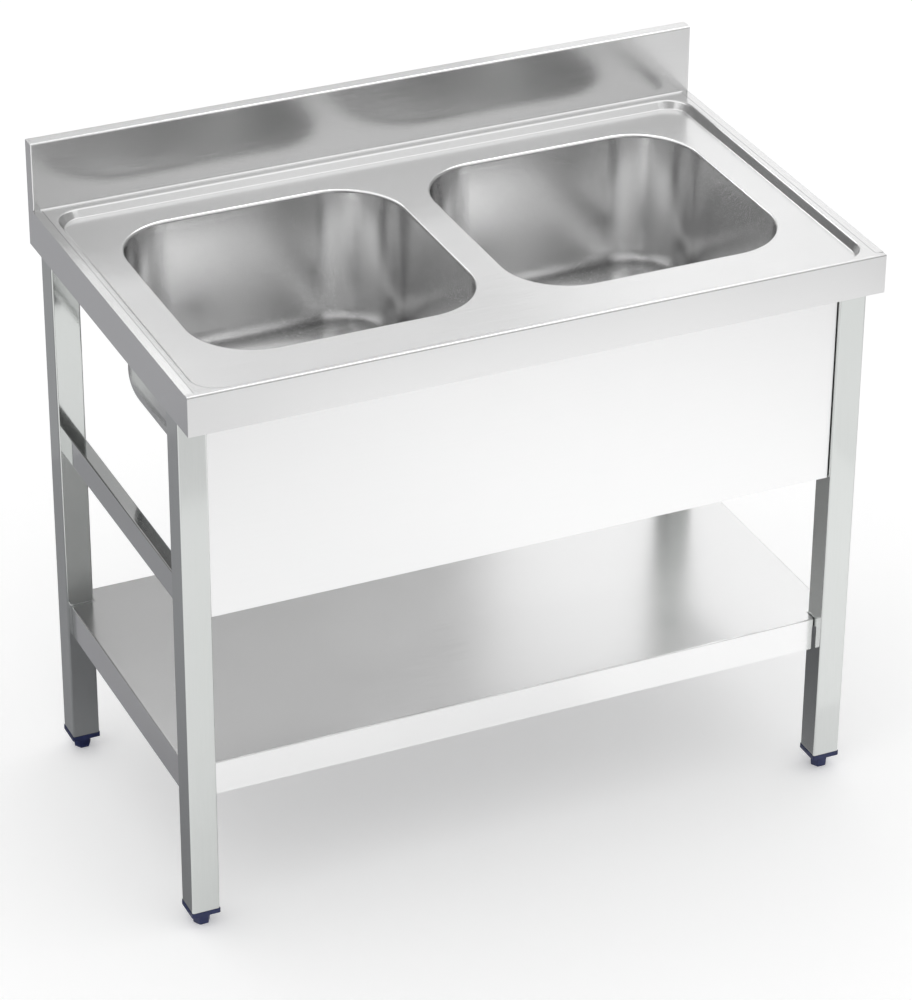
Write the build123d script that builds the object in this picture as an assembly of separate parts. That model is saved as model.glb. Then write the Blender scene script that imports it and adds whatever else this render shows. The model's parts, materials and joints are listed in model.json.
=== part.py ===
from build123d import *
import math
import os

os.makedirs("parts", exist_ok=True)

# Frame: millimetres, +Z up, front towards -Y, origin on the floor under the middle of the worktop.

# Worktop
length = 1000.0            # left to right
depth = 600.0              # front to back
work_height = 846.0        # floor to rim, feet screwed right in
sheet = 1.2                # stainless sheet of worktop, bowls, panel and shelf
apron_height = 57.0        # folded edge, front and sides
apron_return = 14.0        # lip folded in along the bottom of the front apron
fold_round = 2.5           # outer radius of a sharp fold
splash_height = 100.0      # upstand above the rim
splash_thick = 20.0
splash_lip = 30.0          # fold down the back of the upstand
splash_bead = 3.0          # fillet between rim and upstand
bead_stop = 10.0           # the fillet ends this far from each end
strip_width = 12.0         # sloped edge strip, left and right
strip_drop = 0.8
strip_stop = 9.0           # the strip ends this far from the front edge

# Sunken deck
rim_side = 20.0            # rim left standing beside the sunken deck
rim_front = 9.0
rim_back = 16.0
basin_drop = 11.0
basin_run = 7.0            # how far the sloped wall comes in
basin_corner = 38.0
basin_rim_round = 4.0
basin_foot_round = 2.5

# Bowls
bowl_side = 75.0           # end of the worktop to the bowl wall
bowl_gap = 50.0            # between the two bowls
bowl_front = 103.0         # front edge of the worktop to the bowl wall
bowl_back = 97.0
bowl_depth = 250.0         # deck to bowl floor
bowl_floor_round = 70.0
bowl_floor_corner = 22.0   # plan radius left on the flat of the floor
bowl_rim_round = 4.0
bowl_collar = 14.0         # deck turned down to the bowl's weld line

# Waste fittings
waste_thread_r = 23.9      # 1 1/2 inch pipe thread, outside
waste_wall = 3.4
waste_lip = 11.1           # flange beyond the thread
waste_flange_thick = 2.0
waste_length = 62.0        # below the flange
groove_gap = 2.0           # back nut to the groove that parts the two threads
groove_wide = 2.0
groove_deep = 0.8
waste_hole_clear = 1.1     # round the thread, in the bowl floor
waste_seat_drop = 3.0      # pressed seat in the bowl floor
waste_seat_clear = 1.5     # round the flange
waste_bar_wide = 3.0
waste_bar_high = 4.0
waste_bar_drop = 24.0      # flange seat to the top of the crossed bars
gasket_lip = 10.0          # gasket beyond the thread
gasket_thick = 3.0
nut_lip = 8.0              # back nut beyond the thread, across its flats
nut_thick = 10.0
thread_clear = 0.2
plug_lip = 6.5             # plug head beyond the bore
plug_head_thick = 4.0
plug_body_high = 14.0
plug_taper = 1.5           # how much narrower the plug is at its lower end
plug_clear = 0.3
plug_neck_r = 4.0
plug_neck_high = 8.0
plug_knob_r = 8.0
plug_knob_high = 6.0

# Legs, rails and feet
leg = 40.0                 # square tube
leg_wall = 1.5
leg_round = 2.5
leg_gap = 0.2              # leg to the inside of the side apron
leg_front = 43.0           # front edge of the worktop to the face of the front legs
leg_rear = 40.0
leg_lift = 27.5            # floor to the end of the tube
side_rail_wide = 20.0
side_rail_high = 42.0
side_rail_top = 531.0
side_rail_wall = 1.5
side_rail_round = 2.0
insert_flange = 6.5
insert_proud = 0.8
insert_plug = 25.0
insert_clear = 0.3
foot_flat = 21.0           # across flats at the floor
foot_taper = 4.0           # degrees
foot_gap = 0.3             # foot to insert, screwed right in
stud_r = 5.0
stud_long = 56.0
stud_clear = 0.3

# Channels under the deck, and what holds the worktop to them
channel_wide = 30.0
channel_high = 30.0
channel_wall = 2.0
channel_edge = 12.0        # outer side of the worktop to the web of a side channel
screw_r = 3.0
screw_clear = 0.3
screw_long = 18.0
hex_flat = 10.0
hex_thick = 5.0
screw_end = 90.0           # channel end to its first stud
screw_edge = 7.0           # edge of the channel's flange to a stud

# Front panel
panel_bottom = 487.5
panel_setback = 6.0        # behind the face of the front legs
panel_gap = 1.0            # to each leg
panel_return = 20.0
panel_screw_r = 2.4
panel_screw_count = 4
panel_screw_reach = 8.0
panel_head_r = 4.5
panel_head_thick = 3.0

# Undershelf
shelf_top = 250.0
shelf_flange = 49.5
shelf_side = 6.7           # outer face of the legs to the shelf's side flange
shelf_front = 19.5         # face of the front legs to the shelf's front flange
shelf_back = 6.7
shelf_gap = 0.5            # to the legs
shelf_corner = 4.0
shelf_round = 2.0
shelf_tab = 8.0            # flange folded in along a leg
slot_wide = 3.0            # open end of the front and rear flanges
slot_drop = 14.0
bracket_clear = 3.0        # bracket to the folded end of the side flange
bracket_long = 32.0
bracket_high = 30.0
bracket_wall = 2.0
bracket_hole = 19.0        # leg to the bracket's hole
rib_wide = 60.0
rib_high = 25.0
rib_end_gap = 50.0         # shelf flange to the end of the rib

# Places that follow from the sizes above
x_right = length / 2
x_left = -x_right
y_back = depth / 2
y_front = -y_back
rim_z = work_height
deck_z = rim_z - basin_drop
deck_under = deck_z - sheet
apron_z = rim_z - apron_height
splash_face = y_back - splash_thick
splash_z = rim_z + splash_height
floor_z = deck_z - bowl_depth
weld_z = deck_z - bowl_collar
bowl_wide = (length - 2 * bowl_side - bowl_gap) / 2
bowl_long = depth - bowl_front - bowl_back
bowl_corner = bowl_floor_round + bowl_floor_corner
bowl_x = (bowl_gap + bowl_wide) / 2
bowl_y = y_front + bowl_front + bowl_long / 2
leg_out = x_right - sheet - leg_gap
leg_in = leg_out - leg
leg_x = leg_out - leg / 2
front_leg_face = y_front + leg_front
front_leg_back = front_leg_face + leg
front_leg_y = front_leg_face + leg / 2
rear_leg_back = y_back - leg_rear
rear_leg_face = rear_leg_back - leg
rear_leg_y = rear_leg_back - leg / 2
side_names = (("left", -1), ("right", 1))
leg_places = (
    ("front_left", -leg_x, front_leg_y),
    ("front_right", leg_x, front_leg_y),
    ("rear_left", -leg_x, rear_leg_y),
    ("rear_right", leg_x, rear_leg_y),
)
past = 5.0                 # how far a cutting block reaches past the face that it opens
near = 0.1                 # an edge this close to a plane lies on it


def block(x0, x1, y0, y1, z0, z1):
    """Box between two corners."""
    middle = Pos((x0 + x1) / 2, (y0 + y1) / 2, (z0 + z1) / 2)
    return middle * Box(x1 - x0, y1 - y0, z1 - z0)


def rounded(width, long, corner, x, y, z0, z1):
    """Upright prism with rounded corners."""
    return Pos(x, y, z0) * extrude(RectangleRounded(width, long, corner), z1 - z0)


def disc(r, x, y, z0, z1):
    """Upright cylinder between two heights."""
    return Pos(x, y, (z0 + z1) / 2) * Cylinder(r, z1 - z0)


def hexagon(flat, x, y, z0, z1):
    """Upright hexagonal prism, given across its flats, a flat to the front."""
    return Pos(x, y, z0) * extrude(RegularPolygon(flat / 2, 6, major_radius=False), z1 - z0)


def turned(points):
    """Solid of revolution round Z from (radius, height) points."""
    return revolve(make_face(Plane.XZ * Polyline(*points, close=True)), Axis.Z)


def tube(width, high, wall, corner, long):
    """Hollow section standing on the origin."""
    hollow = RectangleRounded(width - 2 * wall, high - 2 * wall, max(corner - wall, wall / 2))
    return extrude(RectangleRounded(width, high, corner) - hollow, long)


def save(name, *solids):
    """Write one piece, or one group of like pieces, to its own file."""
    shape = solids[0] if len(solids) == 1 else Compound(children=list(solids))
    export_step(shape, f"parts/{name}.step")


# Worktop: a folded sheet, made as the outer form less the hollow under it

def basin(grow):
    """Sunken part of the deck, its walls moved out and its floor down by grow."""
    lean = math.atan2(basin_run, basin_drop)
    out = grow / math.cos(lean)
    y0 = y_front + rim_front - out
    y1 = splash_face - rim_back + out
    outline = RectangleRounded(length - 2 * rim_side + 2 * out, y1 - y0, basin_corner + out)
    top = Pos(0, (y0 + y1) / 2, rim_z) * outline
    body = extrude(top, amount=-(basin_drop + grow), taper=math.degrees(lean))
    return fillet(body.faces().sort_by(Axis.Z)[0].edges(), basin_foot_round + grow)


def bowl_form(grow, z0, z1):
    """Upright form of both bowls, moved out by grow."""
    forms = []
    for _, side in side_names:
        width = bowl_wide + 2 * grow
        long = bowl_long + 2 * grow
        forms.append(rounded(width, long, bowl_corner + grow, side * bowl_x, bowl_y, z0, z1))
    return forms


def rim_edges(body, z):
    """Edges round the sunken deck at height z."""
    level = body.edges().filter_by_position(Axis.Z, z - near, z + near)
    inner = level.filter_by_position(Axis.X, x_left + rim_side / 2, x_right - rim_side / 2)
    return inner.filter_by_position(Axis.Y, y_front + rim_front / 2, splash_face - rim_back / 2)


def bowl_edges(body, z):
    """Edges round the bowl openings at height z."""
    level = body.edges().filter_by_position(Axis.Z, z - near, z + near)
    across = level.filter_by(lambda e: abs(abs(e.center().X) - bowl_x) < bowl_wide / 2 + 2 * sheet)
    return across.filter_by(lambda e: abs(e.center().Y - bowl_y) < bowl_long / 2 + 2 * sheet)


def strips(drop):
    """Wedges that slope the two edge strips."""
    wedges = []
    for _, side in side_names:
        a = (side * (x_right + past), rim_z - drop - strip_drop * (strip_width + past) / strip_width)
        b = (side * (x_right - strip_width), rim_z - drop)
        c = (side * (x_right + past), rim_z - drop)
        wedge = make_face(Plane.XZ * Polyline(a, b, c, close=True))
        run = splash_face - fold_round - y_front - strip_stop
        wedges.append(Pos(0, y_front + strip_stop, 0) * extrude(wedge, -run))
    return wedges


outer = block(x_left, x_right, y_front, y_back, apron_z, rim_z)
outer += block(x_left, x_right, splash_face, y_back, apron_z, splash_z)
upright = outer.edges().filter_by(Axis.Z).filter_by_position(Axis.Y, splash_face - near, splash_face + near)
across = outer.edges().filter_by(Axis.X)
crest = across.filter_by_position(Axis.Y, splash_face - near, splash_face + near).sort_by(Axis.Z)[-1]
brow = across.filter_by_position(Axis.Y, y_front - near, y_front + near).sort_by(Axis.Z)[-1]
outer = fillet([*upright, crest, brow], fold_round)
outer -= strips(0)
outer -= basin(0)
outer = fillet(rim_edges(outer, rim_z), basin_rim_round)
outer -= bowl_form(0, apron_z - past, rim_z)
outer = fillet(bowl_edges(outer, deck_z), bowl_rim_round)

inside_x = x_right - sheet
inside_y = splash_face + sheet
hollow = block(-inside_x, inside_x, y_front + sheet, y_back + past, apron_z, rim_z - sheet)
hollow += block(-inside_x, inside_x, inside_y, y_back - sheet, apron_z, splash_z - sheet)
hollow += block(-inside_x, inside_x, inside_y, y_back + past, apron_z, splash_z - splash_lip)
inner_brow = hollow.edges().filter_by(Axis.X).filter_by_position(Axis.Y, y_front, y_front + 2 * sheet)
hollow = fillet(inner_brow.sort_by(Axis.Z)[-1], fold_round - sheet)
hollow -= strips(sheet)
hollow -= basin(sheet)
hollow = fillet(rim_edges(hollow, rim_z - sheet), basin_rim_round - sheet)
hollow -= bowl_form(sheet, weld_z, rim_z)
hollow = fillet(bowl_edges(hollow, deck_under), bowl_rim_round - sheet)
hollow += block(x_left - past, x_right + past, y_front - past, y_back + past, apron_z - past, apron_z)

worktop = outer - hollow
bead_x = x_right - bead_stop
bead_y = splash_face - splash_bead
bead_z = rim_z + splash_bead
bead = block(-bead_x, bead_x, bead_y, splash_face, rim_z, bead_z)
worktop += bead - Pos(0, bead_y, bead_z) * Rot(0, 90, 0) * Cylinder(splash_bead, length)
worktop += block(-inside_x, inside_x, y_front + sheet, y_front + apron_return, apron_z, apron_z + sheet)
save("worktop", worktop)


# Bowls: drawn shells butted to the deck's collar, with a pressed seat for the waste

waste_bore_r = waste_thread_r - waste_wall
waste_flange_r = waste_thread_r + waste_lip
waste_hole_r = waste_thread_r + waste_hole_clear
seat_r = waste_flange_r + waste_seat_clear
seat_top_r = seat_r + waste_seat_drop
seat_shift = sheet * math.tan(math.pi / 8)
seat_edge_r = seat_top_r + 2 * sheet
seat_z = floor_z - waste_seat_drop
seat_under = seat_z - sheet


def bowl(outside, inside):
    """Shell between two upright forms, rounded along the floor."""
    skin = fillet(outside.faces().sort_by(Axis.Z)[0].edges(), bowl_floor_round + sheet)
    return skin - fillet(inside.faces().sort_by(Axis.Z)[0].edges(), bowl_floor_round)


seat = turned([
    (seat_edge_r, floor_z),
    (seat_top_r, floor_z),
    (seat_r, seat_z),
    (waste_hole_r, seat_z),
    (waste_hole_r, seat_under),
    (seat_r + seat_shift, seat_under),
    (seat_top_r + seat_shift, floor_z - sheet),
    (seat_edge_r, floor_z - sheet),
])
outsides = bowl_form(sheet, floor_z - sheet, weld_z)
insides = bowl_form(0, floor_z, weld_z + past)
for (name, side), outside, inside in zip(side_names, outsides, insides):
    shell = bowl(outside, inside)
    shell -= disc(seat_edge_r, side * bowl_x, bowl_y, floor_z - sheet - past, floor_z + past)
    save(f"bowl_{name}", shell + Pos(side * bowl_x, bowl_y, 0) * seat)


# Waste of each bowl: flanged outlet, gasket, back nut and lift-out plug

waste_low = seat_z - waste_length
flange_z = seat_z + waste_flange_thick
gasket_low = seat_under - gasket_thick
nut_low = gasket_low - nut_thick
groove_z = nut_low - groove_gap
groove_r = waste_thread_r - groove_deep
nut_flat = 2 * (waste_thread_r + nut_lip)
gasket_r = waste_thread_r + gasket_lip
plug_z = flange_z + plug_clear
plug_body_r = waste_bore_r - plug_clear
plug_head_r = waste_bore_r + plug_lip

outlet = turned([
    (waste_bore_r, waste_low),
    (waste_thread_r, waste_low),
    (waste_thread_r, groove_z - groove_wide),
    (groove_r, groove_z - groove_wide),
    (groove_r, groove_z),
    (waste_thread_r, groove_z),
    (waste_thread_r, seat_z),
    (waste_flange_r, seat_z),
    (waste_flange_r, seat_z + waste_flange_thick / 2),
    (waste_flange_r - waste_flange_thick, flange_z),
    (waste_bore_r, flange_z),
])
bar_z = seat_z - waste_bar_drop
bar_reach = (waste_bore_r + waste_thread_r) / 2
bar_half = waste_bar_wide / 2
outlet += block(-bar_reach, bar_reach, -bar_half, bar_half, bar_z - waste_bar_high, bar_z)
outlet += block(-bar_half, bar_half, -bar_reach, bar_reach, bar_z - waste_bar_high, bar_z)

gasket = disc(gasket_r, 0, 0, gasket_low, seat_under)
gasket -= disc(waste_thread_r + thread_clear, 0, 0, gasket_low - past, seat_under + past)
back_nut = hexagon(nut_flat, 0, 0, nut_low, gasket_low)
back_nut -= disc(waste_thread_r + thread_clear, 0, 0, nut_low - past, gasket_low + past)
plug_head_z = plug_z + plug_head_thick
plug_neck_z = plug_head_z + plug_neck_high
plug = turned([
    (0, plug_z - plug_body_high),
    (plug_body_r - plug_taper, plug_z - plug_body_high),
    (plug_body_r, plug_z),
    (plug_head_r, plug_z),
    (plug_head_r, plug_z + plug_head_thick / 2),
    (plug_head_r - plug_head_thick, plug_head_z),
    (plug_neck_r, plug_head_z),
    (plug_neck_r, plug_neck_z),
    (plug_knob_r, plug_neck_z + plug_knob_high / 3),
    (plug_knob_r, plug_neck_z + plug_knob_high * 2 / 3),
    (plug_neck_r, plug_neck_z + plug_knob_high),
    (0, plug_neck_z + plug_knob_high),
])
for name, side in side_names:
    place = Pos(side * bowl_x, bowl_y, 0)
    save(f"waste_outlet_{name}", place * outlet)
    save(f"waste_gasket_{name}", place * gasket)
    save(f"waste_nut_{name}", place * back_nut)
    save(f"plug_{name}", place * plug)


# Legs with their plastic inserts and levelling feet

insert_low = leg_lift - insert_flange
insert_half = leg / 2 + insert_proud
insert_in = leg - 2 * leg_wall - 2 * insert_clear
foot_top = insert_low - foot_gap
for name, x, y in leg_places:
    save(f"leg_{name}", Pos(x, y, leg_lift) * tube(leg, leg, leg_wall, leg_round, deck_under - leg_lift))
    insert = rounded(2 * insert_half, 2 * insert_half, leg_round, x, y, insert_low, leg_lift)
    insert += rounded(insert_in, insert_in, leg_round, x, y, leg_lift, leg_lift + insert_plug)
    insert -= disc(stud_r + stud_clear, x, y, insert_low - past, leg_lift + insert_plug + past)
    save(f"leg_insert_{name}", insert)
    outline = RegularPolygon(foot_flat / 2, 6, major_radius=False)
    foot = Pos(x, y, 0) * extrude(outline, foot_top, taper=-foot_taper)
    foot += disc(stud_r, x, y, foot_top / 2, foot_top + stud_long)
    save(f"foot_{name}", foot)


# Side rails between the front and rear legs

rail_long = rear_leg_face - front_leg_back
rail_turn = Rot(-90, 0, 0)
for name, side in side_names:
    rail = rail_turn * tube(side_rail_wide, side_rail_high, side_rail_wall, side_rail_round, rail_long)
    save(f"side_rail_{name}", Pos(side * leg_x, front_leg_back, side_rail_top - side_rail_high / 2) * rail)


# Channels under the deck, welded between the legs, web outwards, with the worktop's studs and nuts

panel_face = front_leg_face + panel_setback
channel_low = deck_under - channel_high
channel_across = 2 * leg_in
panel_screw_pitch = channel_across / panel_screw_count
panel_screw_x = [(i + 0.5) * panel_screw_pitch - channel_across / 2 for i in range(panel_screw_count)]


def channel(long):
    """Channel along X from its middle, top flange at z = 0, open towards +Y."""
    body = block(-long / 2, long / 2, 0, channel_wide, -channel_high, 0)
    return body - block(
        -long / 2 - past, long / 2 + past,
        channel_wall, channel_wide + past,
        channel_wall - channel_high, -channel_wall,
    )


rail_mid = (front_leg_back + rear_leg_face) / 2
front_web = panel_face
rear_web = rear_leg_back - channel_wall
channels = (
    ("front", Pos(0, front_web, deck_under), channel_across),
    ("rear", Pos(0, rear_web, deck_under) * Rot(0, 0, 180), channel_across),
    ("left", Pos(x_left + channel_edge, rail_mid, deck_under) * Rot(0, 0, -90), rail_long),
    ("right", Pos(x_right - channel_edge, rail_mid, deck_under) * Rot(0, 0, 90), rail_long),
)
stud_y = channel_wide - screw_edge
studs = []
nuts = []
for name, place, long in channels:
    body = channel(long)
    for side in (-1, 1):
        x = side * (long / 2 - screw_end)
        body -= disc(screw_r + screw_clear, x, stud_y, -2 * channel_wall, past)
        studs.append(place * disc(screw_r, x, stud_y, -screw_long, 0))
        nut = hexagon(hex_flat, x, stud_y, -channel_wall - hex_thick, -channel_wall)
        nuts.append(place * (nut - disc(screw_r + thread_clear, x, stud_y, -screw_long, 0)))
    if name == "front":
        for x in panel_screw_x:
            hole = disc(panel_screw_r + screw_clear, x, panel_return / 2, -channel_high - past, 0)
            body -= Pos(0, 0, -channel_high / 2) * hole
    save(f"channel_{name}", place * body)
save("worktop_studs", *studs)
save("worktop_nuts", *nuts)


# Front panel: a shallow tray, hung from the front channel by its top return

panel_half = leg_in - panel_gap
panel_top = channel_low
panel = block(-panel_half, panel_half, panel_face, panel_face + panel_return, panel_bottom, panel_top)
panel = fillet(panel.edges().filter_by(Axis.Z).group_by(Axis.Y)[0], sheet)
panel -= block(
    sheet - panel_half, panel_half - sheet,
    panel_face + sheet, panel_face + panel_return + past,
    panel_bottom + sheet, panel_top - sheet,
)
screws = []
head_z = panel_top - sheet
head_low = head_z - panel_head_thick
screw_y = panel_face + panel_return / 2
for x in panel_screw_x:
    panel -= disc(panel_screw_r + screw_clear, x, screw_y, head_z - past, panel_top + past)
    head = disc(panel_head_r, x, screw_y, head_low, head_z)
    screws.append(head + disc(panel_screw_r, x, screw_y, head_low, head_z + panel_screw_reach))
save("front_panel", panel)
save("panel_screws", *screws)


# Undershelf: a tray turned upside down, notched round the legs

shelf_x = leg_out - shelf_side
shelf_y0 = front_leg_face + shelf_front
shelf_y1 = rear_leg_back - shelf_back
shelf_low = shelf_top - shelf_flange
shelf_under = shelf_top - sheet


def tray(inset, z0):
    """Shelf outline less the legs' notches, moved in by inset."""
    body = block(inset - shelf_x, shelf_x - inset, shelf_y0 + inset, shelf_y1 - inset, z0, shelf_top - inset)
    reach = leg / 2 + shelf_gap + inset
    for _, x, y in leg_places:
        body -= block(x - reach, x + reach, y - reach, y + reach, z0 - past, shelf_top + past)
    ends = body.edges().filter_by(Axis.Z).filter_by(
        lambda e: abs(abs(e.center().X) - shelf_x + inset) < near
        or abs(e.center().Y - shelf_y0 - inset) < near
        or abs(e.center().Y - shelf_y1 + inset) < near
    )
    return fillet(ends, shelf_corner - inset)


shelf = tray(0, shelf_low)
shelf = fillet(shelf.faces().sort_by(Axis.Z)[-1].edges(), shelf_round)
shelf -= tray(sheet, shelf_low - past)
notch = leg_in - shelf_gap
for side in (-1, 1):
    for edge, reach in (
        (shelf_y0, front_leg_back + shelf_gap),
        (shelf_y1, rear_leg_face - shelf_gap),
    ):
        inward = math.copysign(1, reach - edge)
        xs = sorted((side * (shelf_x - shelf_tab), side * (notch - 2 * sheet)))
        ys = sorted((edge + inward * shelf_tab, reach + inward * 2 * sheet))
        shelf -= block(*xs, *ys, shelf_low - past, shelf_under)
        xs = sorted((side * (notch + past), side * (notch - slot_wide)))
        ys = sorted((edge - inward * past, edge + inward * (shelf_tab + past)))
        shelf -= block(*xs, *ys, shelf_low - past, shelf_top - slot_drop)
save("undershelf", shelf)

rib_half = shelf_x - sheet - rib_end_gap
rib_y = (shelf_y0 + shelf_y1) / 2
rib_low = shelf_under - rib_high
rib_side = rib_wide / 2
rib = block(-rib_half, rib_half, rib_y - rib_side, rib_y + rib_side, rib_low, shelf_under)
rib -= block(
    -rib_half - past, rib_half + past,
    rib_y - rib_side + sheet, rib_y + rib_side - sheet,
    rib_low + sheet, shelf_under + past,
)
save("shelf_rib", rib)

brackets = []
shelf_studs = []
shelf_nuts = []
bracket_wide = shelf_x - shelf_tab - bracket_clear - leg_in
bracket_under = shelf_under - bracket_wall
stud_low = shelf_under - screw_long
for _, x, y in leg_places:
    inward = -math.copysign(1, y - rail_mid)
    middle = math.copysign(leg_in + bracket_wide / 2, x)
    xs = (middle - bracket_wide / 2, middle + bracket_wide / 2)
    face = y + inward * leg / 2
    flat = sorted((face, face + inward * bracket_long))
    drop = sorted((face, face + inward * bracket_wall))
    hole_y = face + inward * bracket_hole
    bracket = block(*xs, *flat, bracket_under, shelf_under)
    bracket += block(*xs, *drop, shelf_under - bracket_high, shelf_under)
    bracket -= disc(screw_r + screw_clear, middle, hole_y, shelf_under - past, shelf_under + past)
    brackets.append(bracket)
    shelf_studs.append(disc(screw_r, middle, hole_y, stud_low, shelf_under))
    nut = hexagon(hex_flat, middle, hole_y, bracket_under - hex_thick, bracket_under)
    shelf_nuts.append(nut - disc(screw_r + thread_clear, middle, hole_y, stud_low, shelf_under))
save("shelf_brackets", *brackets)
save("shelf_studs", *shelf_studs)
save("shelf_nuts", *shelf_nuts)
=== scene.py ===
import json
import math

import bmesh
import bpy
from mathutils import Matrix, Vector

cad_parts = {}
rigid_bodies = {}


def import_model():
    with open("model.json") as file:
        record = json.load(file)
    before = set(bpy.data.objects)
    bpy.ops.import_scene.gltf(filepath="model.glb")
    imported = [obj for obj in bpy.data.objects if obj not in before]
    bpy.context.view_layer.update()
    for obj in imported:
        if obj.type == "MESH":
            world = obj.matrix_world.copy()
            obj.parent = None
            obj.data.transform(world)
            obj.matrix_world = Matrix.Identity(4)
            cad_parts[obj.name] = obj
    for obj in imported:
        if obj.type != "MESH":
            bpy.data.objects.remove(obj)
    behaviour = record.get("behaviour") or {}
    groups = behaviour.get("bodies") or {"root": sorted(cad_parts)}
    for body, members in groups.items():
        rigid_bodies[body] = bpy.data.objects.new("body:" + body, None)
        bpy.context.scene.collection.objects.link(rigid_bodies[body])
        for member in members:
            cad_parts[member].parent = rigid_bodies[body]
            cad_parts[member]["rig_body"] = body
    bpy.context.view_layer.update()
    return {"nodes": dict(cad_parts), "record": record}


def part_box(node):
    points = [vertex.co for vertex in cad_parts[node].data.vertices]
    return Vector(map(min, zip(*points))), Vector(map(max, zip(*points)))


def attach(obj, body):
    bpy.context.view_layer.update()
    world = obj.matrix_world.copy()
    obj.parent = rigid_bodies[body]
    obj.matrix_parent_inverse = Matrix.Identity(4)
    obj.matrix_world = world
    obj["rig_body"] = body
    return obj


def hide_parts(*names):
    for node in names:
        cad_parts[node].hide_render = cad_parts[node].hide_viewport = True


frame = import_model()
nodes = frame["nodes"]
scene = bpy.context.scene
scene.view_settings.view_transform = "Standard"


# Node helpers

MIX_SHARE = 0              # inputs and output of a colour mix node, by number
MIX_A = 6
MIX_B = 7
MIX_RESULT = 2
WHITE = (1.0, 1.0, 1.0, 1.0)


def grey(tone):
    return (tone, tone, tone)


def link(tree, value, socket):
    """Put a number, colour or another node's output on a socket."""
    if isinstance(value, bpy.types.NodeSocket):
        tree.links.new(value, socket)
    else:
        socket.default_value = value


def math_node(tree, operation, a, b=0.0, clamp=False):
    node = tree.nodes.new("ShaderNodeMath")
    node.operation = operation
    node.use_clamp = clamp
    link(tree, a, node.inputs[0])
    link(tree, b, node.inputs[1])
    return node.outputs[0]


def remap(tree, value, low, high, to_low, to_high):
    """Linear map of one range onto another, held at its ends."""
    node = tree.nodes.new("ShaderNodeMapRange")
    for socket, x in zip(node.inputs, (value, low, high, to_low, to_high)):
        link(tree, x, socket)
    return node.outputs[0]


def mix_colour(tree, share, a, b, blend="MIX"):
    """Mix of a, a colour or another node's output, and the colour b."""
    node = tree.nodes.new("ShaderNodeMix")
    node.data_type = "RGBA"
    node.blend_type = blend
    link(tree, share, node.inputs[MIX_SHARE])
    link(tree, a if isinstance(a, bpy.types.NodeSocket) else (*a, 1.0), node.inputs[MIX_A])
    link(tree, (*b, 1.0), node.inputs[MIX_B])
    return node.outputs[MIX_RESULT]


def place(tree):
    """Position in the row frame, at rest, in metres."""
    return tree.nodes.new("ShaderNodeTexCoord").outputs["Object"]


def along_axes(tree):
    """The position's X, Y and Z as outputs of one node."""
    node = tree.nodes.new("ShaderNodeSeparateXYZ")
    tree.links.new(place(tree), node.inputs[0])
    return node.outputs


def noise(tree, scale, detail=2.0, roughness=0.5, turn=(0.0, 0.0, 0.0)):
    """Noise in waves per metre, one number or one for each axis, its axes turned by degrees."""
    mapping = tree.nodes.new("ShaderNodeMapping")
    tree.links.new(place(tree), mapping.inputs["Vector"])
    mapping.inputs["Rotation"].default_value = [math.radians(angle) for angle in turn]
    mapping.inputs["Scale"].default_value = scale if isinstance(scale, tuple) else (scale, scale, scale)
    node = tree.nodes.new("ShaderNodeTexNoise")
    tree.links.new(mapping.outputs[0], node.inputs["Vector"])
    node.inputs["Scale"].default_value = 1.0
    node.inputs["Detail"].default_value = detail
    node.inputs["Roughness"].default_value = roughness
    return node.outputs["Fac"]


def bump(tree, height, distance):
    node = tree.nodes.new("ShaderNodeBump")
    node.inputs["Strength"].default_value = 1.0
    node.inputs["Distance"].default_value = distance
    tree.links.new(height, node.inputs["Height"])
    return node.outputs[0]


def new_material(name):
    material = bpy.data.materials.new(name)
    material.use_nodes = True
    return material, material.node_tree, material.node_tree.nodes["Principled BSDF"]


# Steel

ACROSS = 900.0             # waves of the grain per metre: across it, along it and where it has no direction
ALONG = 14.0
EVEN = 700.0
GRAIN = {
    "x": (ALONG, ACROSS, ACROSS),
    "y": (ACROSS, ALONG, ACROSS),
    "z": (ACROSS, ACROSS, ALONG),
    "even": (EVEN, EVEN, EVEN),
}
NARROW_BAND = (0.35, 0.65)  # ranges of the noise that are spread over the whole look
WIDE_BAND = (0.3, 0.7)
CLOUD_TONE = 0.6           # share of the clouds in the tone, and the grain has the rest
FINE_GLOSS = 0.035         # roughness up and down with the grain, and with the clouds
CLOUD_GLOSS = 0.02
RUB_SCALE = (9.0, 1100.0, 1100.0)
RUB_TURNS = ((20.0, 0.0, 37.0), (50.0, 15.0, -24.0), (0.0, 0.0, 81.0))
RUB_BAND = (0.66, 0.74)    # peaks of the noise, so that the marks are sparse
slots = {}


def rub_marks(tree):
    """Sparse fine scratches in three directions, 0 to 1."""
    marks = 0.0
    for turn in RUB_TURNS:
        streaks = noise(tree, RUB_SCALE, detail=1.0, roughness=0.4, turn=turn)
        streaks = remap(tree, streaks, *RUB_BAND, 0.0, 1.0)
        marks = math_node(tree, "MAXIMUM", streaks, marks)
    return marks


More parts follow.
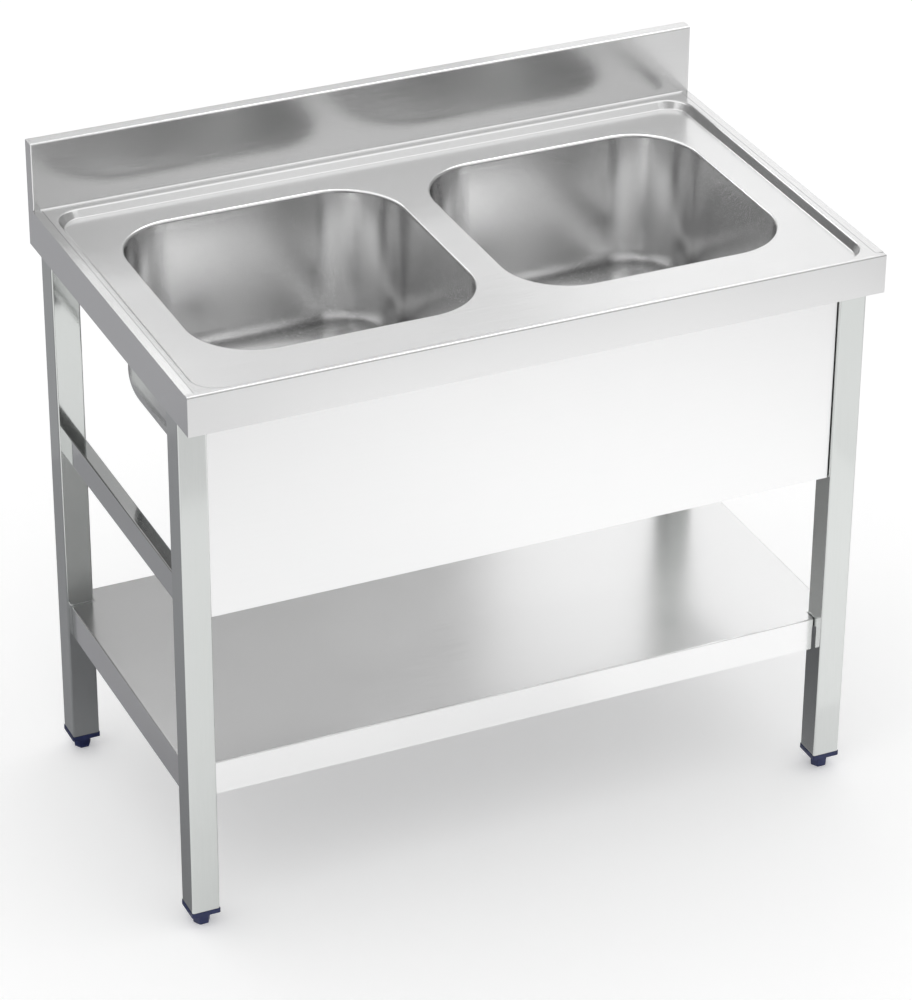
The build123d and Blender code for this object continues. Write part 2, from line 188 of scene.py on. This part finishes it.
def steel(name, dark, light, rough, grain, depth, cloud=3.0, rubbed=0.0):
    """Slot of stainless steel: tone clouds, a fine grain in tone, gloss and relief, and rub marks."""
    material, tree, shader = new_material(name)
    shader.inputs["Metallic"].default_value = 1.0
    clouds = noise(tree, cloud, detail=3.0)
    fine = noise(tree, GRAIN[grain], roughness=0.6)
    cloud_tone = remap(tree, clouds, *NARROW_BAND, 0.0, CLOUD_TONE)
    fine_tone = remap(tree, fine, *WIDE_BAND, 0.0, 1.0 - CLOUD_TONE)
    tone = math_node(tree, "ADD", cloud_tone, fine_tone)
    link(tree, mix_colour(tree, tone, dark, light), shader.inputs["Base Color"])
    fine_gloss = remap(tree, fine, *WIDE_BAND, -FINE_GLOSS, FINE_GLOSS)
    cloud_gloss = remap(tree, clouds, *WIDE_BAND, -CLOUD_GLOSS, CLOUD_GLOSS)
    gloss = math_node(tree, "ADD", fine_gloss, cloud_gloss)
    if rubbed:
        gloss = math_node(tree, "ADD", gloss, math_node(tree, "MULTIPLY", rub_marks(tree), rubbed))
    link(tree, math_node(tree, "ADD", gloss, rough), shader.inputs["Roughness"])
    link(tree, bump(tree, fine, depth), shader.inputs["Normal"])
    slots[name] = material


# Painted shade in the creases of the worktop

STRIP_WIDTH = 0.012        # worktop's sloped edge strips
STRIP_STOP = 0.009         # front edge to the end of a strip
CREASE = 0.0005            # half the width of a crease
CREASE_SHADE = 0.5          # tone left in a crease: painted shade of the small step at the strip's inner edge
SPLASH_HEIGHT = 0.1        # upstand at the back, which has no creases


def shade_creases(material):
    """Worktop steel with a fine line of painted shade along the inner edge of each edge strip, where the
    small step's shade would fall.
    """
    tree = material.node_tree
    base = tree.nodes["Principled BSDF"].inputs["Base Color"]
    low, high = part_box("worktop")
    at = along_axes(tree)
    out = math_node(tree, "SUBTRACT", math_node(tree, "ABSOLUTE", at["X"]), high.x - STRIP_WIDTH)
    line = remap(tree, math_node(tree, "ABSOLUTE", out), CREASE / 2, CREASE, 1.0, 0.0)
    start = low.y + STRIP_STOP
    behind_front = remap(tree, at["Y"], start - CREASE, start + CREASE, 0.0, 1.0)
    line = math_node(tree, "MULTIPLY", line, behind_front)
    rim = high.z - SPLASH_HEIGHT
    below_splash = remap(tree, at["Z"], rim, rim + CREASE, 1.0, 0.0)
    line = math_node(tree, "MULTIPLY", line, below_splash)
    plain = base.links[0].from_socket
    # Painted shade: the crease line multiplies the base colour down, in place of the shade of the step
    link(tree, mix_colour(tree, line, plain, grey(CREASE_SHADE), "MULTIPLY"), base)


# Plastic and rubber

PLASTIC_CLOUD = 60.0       # tone clouds per metre
PLASTIC_GLOSS = 0.06       # roughness up and down with the skin
SCUFF_LOW = 0.001          # height up to which scuffs are full, and where they end
SCUFF_HIGH = 0.006
SCUFF_SCALE = (400.0, 400.0, 900.0)
SCUFF_BAND = (0.45, 0.65)
SCUFF_TONE = 2.5           # step of a full scuff, in steps from the dark to the light tone


def plastic(name, dark, light, rough, depth, skin, scuffed=False):
    """Slot of moulded plastic or rubber: slight tone clouds, a fine skin and, where asked, scuffs."""
    material, tree, shader = new_material(name)
    clouds = noise(tree, PLASTIC_CLOUD, detail=3.0)
    fine = noise(tree, skin)
    share = remap(tree, clouds, *NARROW_BAND, 0.0, 1.0)
    if scuffed:
        near = remap(tree, along_axes(tree)["Z"], SCUFF_LOW, SCUFF_HIGH, 1.0, 0.0)
        rubbed = remap(tree, noise(tree, SCUFF_SCALE, detail=3.0), *SCUFF_BAND, 0.0, SCUFF_TONE)
        share = math_node(tree, "ADD", share, math_node(tree, "MULTIPLY", near, rubbed))
    link(tree, mix_colour(tree, share, dark, light), shader.inputs["Base Color"])
    gloss = remap(tree, fine, *WIDE_BAND, rough - PLASTIC_GLOSS, rough + PLASTIC_GLOSS)
    link(tree, gloss, shader.inputs["Roughness"])
    link(tree, bump(tree, fine, depth), shader.inputs["Normal"])
    slots[name] = material


# Materials, by the record's slots

steel("worktop_steel", grey(0.80), grey(0.84), rough=0.22, grain="x", depth=3e-6, rubbed=0.015)
steel("bowl_steel", grey(0.75), grey(0.78), rough=0.24, grain="even", depth=3e-7)
steel("panel_steel", grey(0.91), grey(0.94), rough=0.335, grain="x", depth=6e-7)
steel("shelf_steel", grey(0.86), grey(0.90), rough=0.22, grain="x", depth=3e-6, rubbed=0.015)
steel("leg_steel", (0.63, 0.65, 0.635), (0.67, 0.685, 0.675), rough=0.10, grain="z", depth=3e-6)
steel("rail_steel", (0.70, 0.71, 0.71), (0.75, 0.76, 0.75), rough=0.08, grain="y", depth=4e-6)
steel("frame_steel", (0.50, 0.50, 0.49), (0.60, 0.60, 0.59),
      rough=0.38, grain="even", depth=1e-5, cloud=9.0)
steel("fastener_steel", (0.55, 0.55, 0.54), (0.64, 0.64, 0.63),
      rough=0.335, grain="even", depth=1e-5, cloud=40.0)
steel("waste_steel", (0.66, 0.66, 0.67), (0.72, 0.72, 0.73),
      rough=0.14, grain="even", depth=4e-6, cloud=20.0)
plastic("nut_plastic", (0.030, 0.030, 0.030), (0.045, 0.045, 0.046), rough=0.50, depth=8e-5, skin=1500.0)
plastic("seal_rubber", (0.022, 0.022, 0.022), (0.036, 0.036, 0.035), rough=0.68, depth=8e-5, skin=2200.0)
plastic("plug_rubber", (0.026, 0.026, 0.027), (0.042, 0.042, 0.042), rough=0.60, depth=8e-5, skin=2200.0)
plastic("blue_plastic", (0.008, 0.014, 0.070), (0.013, 0.022, 0.100),
        rough=0.42, depth=6e-5, skin=1800.0, scuffed=True)
shade_creases(slots["worktop_steel"])
slot_of = {row["node"]: row["material_slot"] for row in frame["record"]["subparts"]}
for name, slot in slot_of.items():
    nodes[name].data.materials.clear()
    nodes[name].data.materials.append(slots[slot])


# Mesh helpers for the small turned and threaded pieces: a shell is a list of points and a list of faces

RING = 48                  # points in a ring, and in a turn of a thread
SIDES = 6                  # of a hexagon
SIDE_TURN = 60.0           # degrees from one side of a hexagon to the next
SOFT_STEPS = 4             # in a rounded corner of a profile
THREAD_SINK = 0.2          # foot of a ridge below the core's surface, as a share of the ridge's height
THREAD_FOOT = 0.45         # half the width of a ridge at its foot and at its crest, in pitches
THREAD_CREST = 0.08
SAME_POINT = 0.000001      # points no further apart than this are one
SHARP = 35.0               # degrees between faces from which an edge is drawn sharp


def ring(flat, corner, z):
    """Hexagon round Z: flat is half its width and corner its rounding; equal, they give a circle."""
    points = []
    steps = RING // SIDES
    out = (flat - corner) / math.cos(math.radians(SIDE_TURN / 2))
    for i in range(SIDES):
        turn = math.radians(SIDE_TURN * i)
        for k in range(steps):
            angle = turn + math.radians(SIDE_TURN * (k + 0.5) / steps - SIDE_TURN / 2)
            x = out * math.cos(turn) + corner * math.cos(angle)
            y = out * math.sin(turn) + corner * math.sin(angle)
            points.append((x, y, z))
    return points


def circle(r, z):
    return ring(r, r, z)


def loft(rings, loop=False):
    """Shell through rings of one count, capped at its ends or, as a loop, joined end to start."""
    count = len(rings[0])
    points = [point for each in rings for point in each]
    faces = []
    for j in range(len(rings) if loop else len(rings) - 1):
        a = j * count
        b = (j + 1) % len(rings) * count
        for k in range(count):
            m = (k + 1) % count
            faces.append((a + k, a + m, b + m, b + k))
    if not loop:
        faces.append(tuple(reversed(range(count))))
        faces.append(tuple(range(len(points) - count, len(points))))
    return points, faces


def lathe(profile, loop=False):
    """Shell turned round Z from (radius, height) points."""
    return loft([circle(r, z) for r, z in profile], loop)


def soft(profile, round_to):
    """Profile with its corners rounded, each by at most a third of its shorter side."""
    points = [Vector(point) for point in profile]
    result = [points[0]]
    for a, b, c in zip(points, points[1:], points[2:]):
        reach = min(round_to, (a - b).length / 3, (c - b).length / 3)
        start = b + (a - b).normalized() * reach
        end = b + (c - b).normalized() * reach
        for i in range(SOFT_STEPS + 1):
            t = i / SOFT_STEPS
            result.append(start * (1 - t) ** 2 + b * 2 * t * (1 - t) + end * t ** 2)
    return [tuple(point) for point in result + [points[-1]]]


def thread(root, crest, pitch, z0, z1):
    """Right-handed screw ridge on a core of radius root, faded out over half a turn at each end."""
    steps = int(((z1 - z0) / pitch - 1.0) * RING)
    sunk = root - THREAD_SINK * (crest - root)
    shape = ((sunk, -THREAD_FOOT), (crest, -THREAD_CREST), (crest, THREAD_CREST), (sunk, THREAD_FOOT))
    count = len(shape)
    points = []
    faces = []
    for i in range(steps + 1):
        angle = 2.0 * math.pi * i / RING
        fade = min(1.0, 2.0 * i / RING, 2.0 * (steps - i) / RING)
        for r, along in shape:
            out = sunk + (r - sunk) * fade
            z = z0 + pitch * (0.5 + i / RING + along)
            points.append((out * math.cos(angle), out * math.sin(angle), z))
    for i in range(steps):
        a = count * i
        b = a + count
        for k in range(count):
            m = (k + 1) % count
            faces.append((a + k, b + k, b + m, a + m))
    faces.append(tuple(range(count)))
    faces.append(tuple(count * steps + k for k in reversed(range(count))))
    return points, faces


def placed(shell, x, y, z=0.0, quarter=False):
    """Shell moved to a place, after a quarter turn where asked."""
    points, faces = shell
    if quarter:
        points = [(-b, a, c) for a, b, c in points]
    return [(a + x, b + y, c + z) for a, b, c in points], faces


def middle(low, high):
    """X and Y of a box's middle."""
    return (low.x + high.x) / 2, (low.y + high.y) / 2


def solids(node):
    """Lowest and highest corner of each separate solid in a node, in a fixed order."""
    mesh = bmesh.new()
    mesh.from_mesh(nodes[node].data)
    bmesh.ops.remove_doubles(mesh, verts=mesh.verts, dist=SAME_POINT)
    seen = set()
    boxes = []
    for first in mesh.verts:
        if first in seen:
            continue
        seen.add(first)
        group = [first]
        for vertex in group:
            for edge in vertex.link_edges:
                other = edge.other_vert(vertex)
                if other not in seen:
                    seen.add(other)
                    group.append(other)
        low = Vector([min(v.co[i] for v in group) for i in range(3)])
        high = Vector([max(v.co[i] for v in group) for i in range(3)])
        boxes.append((low, high))
    mesh.free()
    return sorted(boxes, key=lambda box: tuple(round(c, 6) for c in box[0]))


def add_piece(name, node, shells):
    """Piece made of closed shells, in the place, body and material slot of the node it stands for."""
    points = []
    faces = []
    for shell_points, shell_faces in shells:
        start = len(points)
        points += shell_points
        faces += [tuple(start + i for i in face) for face in shell_faces]
    mesh = bpy.data.meshes.new(name)
    mesh.from_pydata(points, [], faces)
    mesh.shade_smooth()
    mesh.set_sharp_from_angle(angle=math.radians(SHARP))
    piece = bpy.data.objects.new(name, mesh)
    scene.collection.objects.link(piece)
    slot = slot_of[node]
    mesh.materials.append(slots[slot])
    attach(piece, nodes[node]["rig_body"])
    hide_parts(node)


# Levelling feet: moulded hexagon with a screw thread above it

FOOT_FLAT = 0.021          # across flats at the floor
FOOT_CORNER = 0.0015
FOOT_EDGE = 0.0012         # rounding at the floor and at the top
FOOT_STUD_LONG = 0.056
FOOT_STUD_R = 0.005
FOOT_ROOT_R = 0.0042
FOOT_PITCH = 0.0015
# Height and inset of the steps in a rounded edge, in edge sizes
EDGE_STEPS = ((0.0, 1.0), (0.1, 0.5), (0.4, 0.15), (1.0, 0.0))


def rounded_block(flat_low, flat_high, corner, edge, z0, z1):
    """Rings of a hexagonal block with rounded corners and edges, tapered from flat_low to flat_high."""
    steps = [(z0 + edge * up, edge * inset) for up, inset in EDGE_STEPS]
    steps += [(z1 - edge * up, edge * inset) for up, inset in reversed(EDGE_STEPS)]
    rings = []
    for z, inset in steps:
        flat = flat_low + (flat_high - flat_low) * (z - z0) / (z1 - z0)
        rings.append(ring(flat - inset, corner, z))
    return rings


for node in [name for name in nodes if name.startswith("foot_")]:
    low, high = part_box(node)
    x, y = middle(low, high)
    top = high.z - FOOT_STUD_LONG
    end = high.z - FOOT_PITCH
    pad = loft(rounded_block(FOOT_FLAT / 2, (high.y - low.y) / 2, FOOT_CORNER, FOOT_EDGE, low.z, top))
    stud = lathe([(FOOT_ROOT_R, top / 2), (FOOT_ROOT_R, end), (FOOT_ROOT_R - FOOT_PITCH / 2, high.z)])
    ridge = thread(FOOT_ROOT_R, FOOT_STUD_R, FOOT_PITCH, top, end)
    add_piece("screw_" + node, node, [placed(shell, x, y) for shell in (pad, stud, ridge)])


# Waste outlets: flanged tube with crossed bars in its bore and two runs of pipe thread

WASTE_BORE_R = 0.0205
WASTE_THREAD_R = 0.0239
WASTE_ROOT_R = 0.0226
WASTE_PITCH = 0.0023
WASTE_FLANGE_THICK = 0.002
WASTE_SHOULDER = 0.75      # height of the flange's shoulder, as a share of its thickness
WASTE_GROOVE_LOW = 0.0438  # outlet's lower end to the groove between the threads
WASTE_GROOVE_WIDE = 0.002
WASTE_EDGE = 0.0006
BAR_WIDE = 0.003
BAR_HIGH = 0.004
BAR_DROP = 0.024           # flange seat to the top of the bars
BAR_POINTS = 16            # round a bar
BAR_POWER = 0.5            # 1 for an ellipse, towards 0 for a rectangle


def bar(half):
    """Bar along X with rounded edges, its top at z = 0."""
    section = []
    for i in range(BAR_POINTS):
        angle = 2.0 * math.pi * (i + 0.5) / BAR_POINTS
        across = math.cos(angle)
        up = math.sin(angle)
        y = math.copysign(abs(across) ** BAR_POWER, across) * BAR_WIDE / 2
        z = math.copysign(abs(up) ** BAR_POWER, up) * BAR_HIGH / 2 - BAR_HIGH / 2
        section.append((y, z))
    return loft([[(x, y, z) for y, z in section] for x in (-half, half)])


for side in ("left", "right"):
    node = "waste_outlet_" + side
    low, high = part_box(node)
    x, y = middle(low, high)
    flange_r = (high.x - low.x) / 2
    seat = high.z - WASTE_FLANGE_THICK
    tube = [
        (WASTE_BORE_R, low.z),
        (WASTE_ROOT_R - WASTE_EDGE, low.z),
        (WASTE_ROOT_R, low.z + WASTE_EDGE),
        (WASTE_ROOT_R, seat),
        (flange_r - WASTE_EDGE / 2, seat),
        (flange_r, seat + WASTE_EDGE / 2),
        (flange_r, seat + WASTE_FLANGE_THICK / 2),
        (flange_r - WASTE_EDGE, seat + WASTE_FLANGE_THICK * WASTE_SHOULDER),
        (flange_r - WASTE_FLANGE_THICK, high.z),
        (WASTE_BORE_R + 2 * WASTE_EDGE, high.z),
        (WASTE_BORE_R + WASTE_EDGE / 2, high.z - WASTE_EDGE / 2),
        (WASTE_BORE_R, high.z - 2 * WASTE_EDGE),
    ]
    groove = low.z + WASTE_GROOVE_LOW
    reach = (WASTE_BORE_R + WASTE_ROOT_R) / 2
    shells = [
        lathe(tube, loop=True),
        thread(WASTE_ROOT_R, WASTE_THREAD_R, WASTE_PITCH, low.z + WASTE_EDGE, groove),
        thread(WASTE_ROOT_R, WASTE_THREAD_R, WASTE_PITCH, groove + WASTE_GROOVE_WIDE, seat),
        placed(bar(reach), 0.0, 0.0, seat - BAR_DROP),
        placed(bar(reach), 0.0, 0.0, seat - BAR_DROP, quarter=True),
    ]
    add_piece("outlet_" + side, node, [placed(shell, x, y) for shell in shells])


# Gaskets, back nuts and plugs of the wastes

SEAL_BORE_R = 0.0241
SEAL_EDGE = 0.0006
NUT_CORNER = 0.002
NUT_EDGE = 0.0012
PLUG_LOW_R = 0.0187
PLUG_BODY_R = 0.0202
PLUG_BODY_HIGH = 0.014
PLUG_LIP_HIGH = 0.002
PLUG_HEAD_HIGH = 0.004
PLUG_NECK_R = 0.004
PLUG_KNOB_R = 0.008
PLUG_KNOB_HIGH = 0.006
PLUG_ROUND = 0.0012


def hollow_block(flat, corner, edge, bore, z0, z1):
    """Rounded hexagonal block, or disc, with a bore."""
    rings = rounded_block(flat, flat, corner, edge, z0, z1)
    return loft(rings + [circle(bore, z1), circle(bore, z0)], loop=True)


for side in ("left", "right"):
    node = "waste_gasket_" + side
    low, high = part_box(node)
    x, y = middle(low, high)
    outer = (high.x - low.x) / 2
    washer = hollow_block(outer, outer, SEAL_EDGE, SEAL_BORE_R, low.z, high.z)
    add_piece("gasket_" + side, node, [placed(washer, x, y)])

    node = "waste_nut_" + side
    low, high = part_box(node)
    nut = hollow_block((high.y - low.y) / 2, NUT_CORNER, NUT_EDGE, SEAL_BORE_R, low.z, high.z)
    add_piece("back_nut_" + side, node, [placed(nut, x, y)])

    node = "plug_" + side
    low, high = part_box(node)
    head_r = (high.x - low.x) / 2
    seat = low.z + PLUG_BODY_HIGH
    knob = high.z - PLUG_KNOB_HIGH
    profile = soft([
        (PLUG_NECK_R, low.z),
        (PLUG_LOW_R, low.z),
        (PLUG_BODY_R, seat),
        (head_r, seat),
        (head_r, seat + PLUG_LIP_HIGH),
        (head_r - PLUG_HEAD_HIGH, seat + PLUG_HEAD_HIGH),
        (PLUG_NECK_R, seat + PLUG_HEAD_HIGH),
        (PLUG_NECK_R, knob),
        (PLUG_KNOB_R, knob + PLUG_KNOB_HIGH / 3),
        (PLUG_KNOB_R, high.z - PLUG_KNOB_HIGH / 3),
        (PLUG_NECK_R, high.z),
        (PLUG_NECK_R / 4, high.z),
    ], PLUG_ROUND)
    add_piece("stopper_" + side, node, [placed(lathe(profile), x, y)])


# Studs, nuts and screws

STUD_ROOT = 0.82           # thread root, as a share of the outside radius
STUD_PITCH = 0.001
HEX_CORNER = 0.0004
HEX_EDGE = 0.0005
HEX_BORE_R = 0.0032
SCREW_R = 0.0024
SCREW_HEAD_HIGH = 0.003
SOCKET_FLAT = 0.0014
SOCKET_DEEP = 0.0016
# Radius and height of the steps in a domed screw head, as shares of the head's
SCREW_DOME = ((0.5, 0.0), (0.8, 0.15), (0.95, 0.4), (1.0, 0.7), (1.0, 1.0))

for node in ("worktop_studs", "shelf_studs"):
    shells = []
    for low, high in solids(node):
        x, y = middle(low, high)
        r = (high.x - low.x) / 2
        root = r * STUD_ROOT
        core = lathe([(root - STUD_PITCH / 2, low.z), (root, low.z + STUD_PITCH), (root, high.z)])
        ridge = thread(root, r, STUD_PITCH, low.z + STUD_PITCH / 2, high.z)
        shells += [placed(core, x, y), placed(ridge, x, y)]
    add_piece("threaded_" + node, node, shells)

for node in ("worktop_nuts", "shelf_nuts"):
    shells = []
    for low, high in solids(node):
        x, y = middle(low, high)
        turned = high.y - low.y > high.x - low.x
        flat = min(high.x - low.x, high.y - low.y) / 2
        nut = hollow_block(flat, HEX_CORNER, HEX_EDGE, HEX_BORE_R, low.z, high.z)
        shells.append(placed(nut, x, y, quarter=turned))
    add_piece("hex_" + node, node, shells)

shells = []
for low, high in solids("panel_screws"):
    x, y = middle(low, high)
    head_r = (high.x - low.x) / 2
    neck = low.z + SCREW_HEAD_HIGH
    root = SCREW_R * STUD_ROOT
    socket = [ring(SOCKET_FLAT, HEX_CORNER, low.z + up) for up in (SOCKET_DEEP, HEX_EDGE / 4)]
    head = [circle(head_r * wide, low.z + up * SCREW_HEAD_HIGH) for wide, up in SCREW_DOME]
    core = [circle(root, neck), circle(root, high.z - STUD_PITCH), circle(root / 2, high.z)]
    ridge = thread(root, SCREW_R, STUD_PITCH, neck, high.z)
    shells += [placed(loft(socket + head + core), x, y), placed(ridge, x, y)]
add_piece("pan_panel_screws", "panel_screws", shells)


# Sky and floor

SKY_SEEN = 1.0             # sky in the picture and in reflections
SKY_LIGHT = 0.825          # sky as a light
FLOOR_HALF = 30.0          # middle of the floor to its edges
FLOOR_CLOUD = 3.0          # tone clouds per metre
FLOOR_DARK = 0.89
FLOOR_LIGHT = 0.91
FLOOR_GLOW = 0.25          # added in the picture and in reflections, and lights nothing
MATT = 0.9                 # roughness of the floor and the cards


def seen_directly(tree):
    """1 for what the camera, a mirror or glass shows, 0 for light that falls on things."""
    path = tree.nodes.new("ShaderNodeLightPath")
    both = math_node(tree, "ADD", path.outputs["Is Camera Ray"], path.outputs["Is Glossy Ray"])
    return math_node(tree, "ADD", both, path.outputs["Is Transmission Ray"], clamp=True)


def level_sheet(xs, ys, z):
    """Corners of a level sheet."""
    return [(xs[0], ys[0], z), (xs[1], ys[0], z), (xs[1], ys[1], z), (xs[0], ys[1], z)]


def cross_sheet(y, xs, zs):
    """Corners of an upright sheet across Y."""
    return [(xs[0], y, zs[0]), (xs[1], y, zs[0]), (xs[1], y, zs[1]), (xs[0], y, zs[1])]


def side_sheet(x, ys, zs):
    """Corners of an upright sheet across X."""
    return [(x, ys[0], zs[0]), (x, ys[1], zs[0]), (x, ys[1], zs[1]), (x, ys[0], zs[1])]


def stage_sheet(name, corners):
    """Flat four-cornered stage piece with a matt material, and that material's parts."""
    mesh = bpy.data.meshes.new(name)
    mesh.from_pydata(corners, [], [(0, 1, 2, 3)])
    piece = bpy.data.objects.new(name, mesh)
    scene.collection.objects.link(piece)
    material, tree, shader = new_material(name)
    shader.inputs["Roughness"].default_value = MATT
    shader.inputs["Specular IOR Level"].default_value = 0.0
    mesh.materials.append(material)
    return piece, material, tree, shader


world = bpy.data.worlds.new("studio")
scene.world = world
world.use_nodes = True
sky = world.node_tree.nodes["Background"]
sky.inputs["Color"].default_value = WHITE
strength = remap(world.node_tree, seen_directly(world.node_tree), 0.0, 1.0, SKY_LIGHT, SKY_SEEN)
link(world.node_tree, strength, sky.inputs["Strength"])

floor_range = (-FLOOR_HALF, FLOOR_HALF)
_, material, tree, shader = stage_sheet("floor", level_sheet(floor_range, floor_range, 0.0))
material.cycles.emission_sampling = "NONE"
paint = mix_colour(tree, noise(tree, FLOOR_CLOUD), grey(FLOOR_DARK), grey(FLOOR_LIGHT))
link(tree, paint, shader.inputs["Base Color"])
shader.inputs["Emission Color"].default_value = WHITE
glow = math_node(tree, "MULTIPLY", seen_directly(tree), FLOOR_GLOW)
link(tree, glow, shader.inputs["Emission Strength"])


# Studio cards, which give the steel its darker and lighter reflections

CARD_CLOUD = 1.5           # tone clouds per metre
CARD_SPREAD = 0.03         # tone up and down
SOFTBOX_TONE = 0.9         # of its face, under the glow
ON_FLOOR = 0.003           # height of the cards that lie on the floor
BACK = 1.3                 # planes of the upright cards and, last, of the overhead softbox
BACK_FAR = 3.0
SOFTBOX_BACK = 2.98
FRONT = -1.2
FRONT_FAR = -3.0
LEFT = -3.0
RIGHT = 3.0
OVERHEAD = 4.0


def card(name, corners, colour):
    """Matt studio card that shows only in reflections."""
    piece, material, tree, shader = stage_sheet(name, corners)
    piece.visible_camera = False
    piece.visible_diffuse = False
    piece.visible_shadow = False
    piece.visible_transmission = False
    dark = [(1.0 - CARD_SPREAD) * c for c in colour]
    light = [(1.0 + CARD_SPREAD) * c for c in colour]
    tone = mix_colour(tree, noise(tree, CARD_CLOUD, detail=1.0), dark, light)
    link(tree, tone, shader.inputs["Base Color"])
    return material, shader


def softbox(name, corners, level):
    """Card that also glows, for the light lines along the folds."""
    material, shader = card(name, corners, grey(SOFTBOX_TONE))
    shader.inputs["Emission Color"].default_value = WHITE
    shader.inputs["Emission Strength"].default_value = level
    material.cycles.emission_sampling = "NONE"


# Cards on the floor: name, x from and to, y from and to, colour
for name, xs, ys, colour in (
    # card_floor_left reaches under the stand, to x 0.44: there its dark grey is painted shade, darkening
    # the floor under the stand as the steel reflects it
    ("card_floor_left", (-5.0, 0.44), (-0.22, 1.05), (0.38, 0.38, 0.395)),
    ("card_floor_left_far", (-5.0, 0.44), (1.05, 6.0), (0.44, 0.44, 0.455)),
    ("card_floor_right", (0.6, 4.0), (-0.15, 5.0), (0.38, 0.38, 0.39)),
    ("card_floor_front", (-4.0, 4.0), (-4.0, -1.72), grey(0.90)),
    ("card_floor_front_left", (-1.2, 0.1), (-1.72, -1.35), grey(0.95)),
    ("card_floor_front_right", (1.34, 2.6), (-1.8, -1.2), grey(0.62)),
):
    card(name, level_sheet(xs, ys, ON_FLOOR), colour)

# Cards behind and in front: name, y, x from and to, z from and to, grey
for name, y, xs, zs, tone in (
    ("card_back_left", BACK, (-0.6, -0.15), (0.0, 1.4), 0.30),
    ("card_back", BACK, (-0.15, 0.66), (0.0, 1.4), 0.58),
    ("card_back_far", BACK_FAR, (-1.0, 1.65), (2.35, 3.6), 0.93),
    ("card_back_left_far", BACK_FAR, (-6.0, -0.7), (0.2, 2.6), 0.16),
    ("card_front_low", FRONT, (-0.5, 2.0), (0.55, 1.3), 0.55),
    ("card_front_low_left", FRONT, (-1.6, -0.5), (0.55, 1.3), 0.12),
    ("card_front_left", FRONT_FAR, (-4.0, -0.6), (1.4, 3.5), 0.30),
    ("card_front_middle", FRONT_FAR, (-0.6, 0.5), (1.7, 3.2), 0.50),
    ("card_front_right", FRONT_FAR, (0.5, 2.5), (2.0, 3.6), 0.94),
    ("card_front_high", FRONT_FAR, (-4.0, 1.0), (3.5, 7.0), 0.55),
):
    card(name, cross_sheet(y, xs, zs), grey(tone))

card("card_left", side_sheet(LEFT, (-3.0, 4.0), (0.5, 3.3)), grey(0.45))
card("card_right", side_sheet(RIGHT, (-4.0, 3.0), (0.5, 4.0)), grey(0.45))
softbox("softbox_top", level_sheet((0.8, 2.2), (1.3, 2.6), OVERHEAD), level=3.8)
softbox("softbox_left", side_sheet(LEFT, (0.2, 4.0), (3.4, 6.0)), level=0.7)
softbox("softbox_floor", level_sheet((0.25, 0.95), (-1.72, -0.4), ON_FLOOR), level=0.34)
softbox("softbox_back", cross_sheet(SOFTBOX_BACK, (-0.6, 0.45), (3.05, 3.6)), level=2.2)


# Lamp and camera

SUN_ENERGY = 0.22
SUN_SPREAD = 90.0          # degrees
SENSOR = 36.0              # mm, and so is the lens
LENS = 146.36
CLIP_END = 200.0
CAMERA_AT = (-2.0466, -4.4903, 3.2679)
CAMERA_TURN = (60.056, -0.347, -24.377)  # degrees

sun = bpy.data.lights.new("lamp", "SUN")
sun.energy = SUN_ENERGY
sun.angle = math.radians(SUN_SPREAD)
lamp = bpy.data.objects.new("lamp", sun)
scene.collection.objects.link(lamp)

camera = bpy.data.cameras.new("camera")
camera.sensor_width = SENSOR
camera.lens = LENS
camera.clip_end = CLIP_END
viewer = bpy.data.objects.new("camera", camera)
viewer.location = CAMERA_AT
viewer.rotation_euler = [math.radians(angle) for angle in CAMERA_TURN]
scene.collection.objects.link(viewer)
scene.camera = viewer

bpy.context.view_layer.update()
